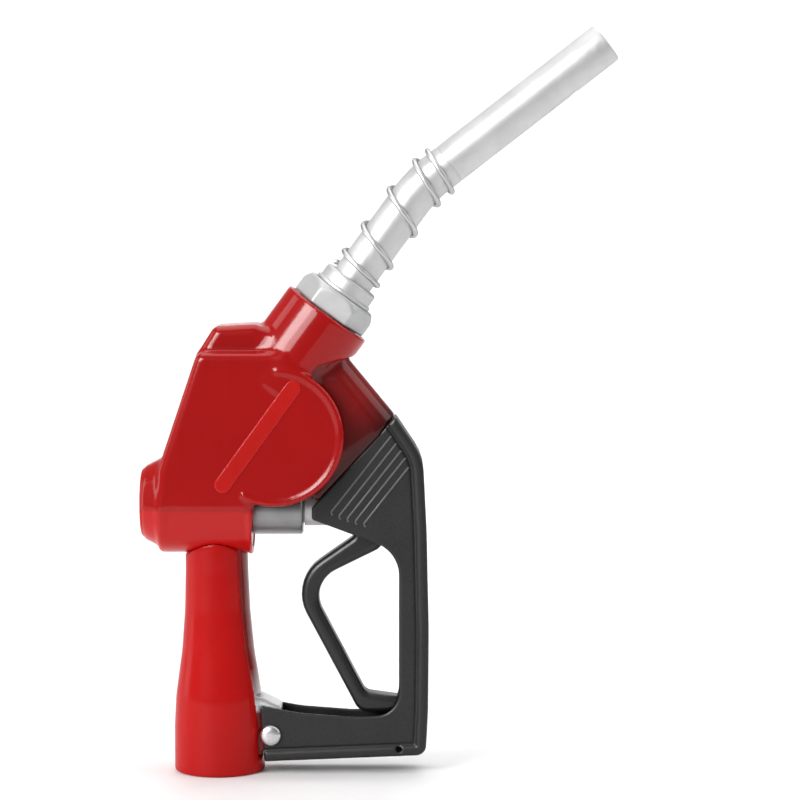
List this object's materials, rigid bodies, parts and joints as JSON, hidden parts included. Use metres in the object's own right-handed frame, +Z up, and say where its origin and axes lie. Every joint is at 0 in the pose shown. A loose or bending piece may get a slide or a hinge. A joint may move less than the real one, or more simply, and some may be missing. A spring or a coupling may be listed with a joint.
{
  "type": "fuel nozzle",
  "caption": "Automatic shut-off fuel nozzle with a squeeze lever, lever guard, soft red cover and a bent metal spout with a spring round it.",
  "frame": {"origin": "centre of the hose inlet's mouth, at the bottom of the handle", "axes": "+Z up the handle, away from the hose; +X towards the spout and the lever guard; +Y across, to the nozzle's left side"},
  "size_m": [0.2338, 0.0492, 0.3668],
  "materials": {
    "painted_casting": "baked gloss paint over a sand-cast surface",
    "red_vinyl": "soft moulded vinyl, semi-gloss",
    "red_vinyl_cap": "semi-gloss, slightly worn edge",
    "seal_rubber": "matt",
    "spring_steel": "bright drawn wire",
    "bronze": "turned",
    "stainless": "turned and polished",
    "cast_alloy": "machined, fine turning marks",
    "nut_alloy": "die-cast, matt",
    "black_lever": "satin black powder coat",
    "black_guard": "fine-textured black powder coat",
    "rivet_steel": "bright zinc plate",
    "spout_aluminium": "satin drawn tube"
  },
  "bodies": {
    "root": {"body_casting": "painted_casting", "hand_insulator": "red_vinyl", "scuff_cover": "red_vinyl", "valve_cap": "red_vinyl_cap", "cap_o_ring": "seal_rubber", "main_spring": "spring_steel", "stem_bushing": "cast_alloy", "stem_packing": "seal_rubber", "packing_nut": "cast_alloy", "vacuum_cap": "cast_alloy", "vacuum_cap_screws": "stainless", "diaphragm_spring": "spring_steel", "diaphragm": "seal_rubber", "latch_ring": "stainless", "plunger_spring": "spring_steel", "plunger_bushing": "bronze", "lever_guard": "black_guard", "guard_rivet": "rivet_steel", "check_seat": "bronze", "check_spring": "spring_steel", "spout_adaptor": "cast_alloy", "spout_nut": "nut_alloy", "spout_o_ring": "seal_rubber", "spout_tube": "spout_aluminium", "vent_tube": "spout_aluminium", "vent_fitting": "bronze", "spout_spring": "spring_steel"},
    "plunger": {"plunger": "stainless", "latch_balls": "stainless"},
    "lever": {"lever": "black_lever", "lever_pin": "stainless"},
    "valve": {"main_poppet": "bronze", "poppet_seal": "seal_rubber", "valve_stem": "stainless"},
    "latch": {"latch_pin": "stainless"},
    "check_valve": {"check_poppet": "bronze"}
  },
  "joints": [
    {"name": "plunger_trip", "type": "slide", "parent": "root", "child": "plunger", "axis": [0.9455, 0, -0.3256], "range_m": [0, 0.008], "stiffness_N_per_m": 900, "springref_m": -0.012, "deforming": ["plunger_spring"]},
    {"name": "lever_squeeze", "type": "hinge", "parent": "plunger", "child": "lever", "pos_m": [0.07799, 0, 0.15111], "axis": [0, 1, 0], "range_deg": [0, 15], "stiffness_Nm_per_rad": 0.8, "springref_deg": -20.05},
    {"name": "valve_lift", "type": "slide", "parent": "root", "child": "valve", "axis": [-1, 0, 0], "range_m": [0, 0.0065], "deforming": ["main_spring"]},
    {"name": "vacuum_release", "type": "slide", "parent": "root", "child": "latch", "axis": [-0.9455, 0, 0.3256], "range_m": [0, 0.002], "stiffness_N_per_m": 300, "springref_m": -0.002, "deforming": ["diaphragm_spring", "diaphragm"]},
    {"name": "check_lift", "type": "slide", "parent": "root", "child": "check_valve", "axis": [0.592, 0, 0.8059], "range_m": [0, 0.005], "stiffness_N_per_m": 150, "springref_m": -0.004, "deforming": ["check_spring"]}
  ],
  "couplings": [
    {"joint": "valve_lift", "follows": "lever_squeeze", "m_per_rad": 0.0241}
  ]
}
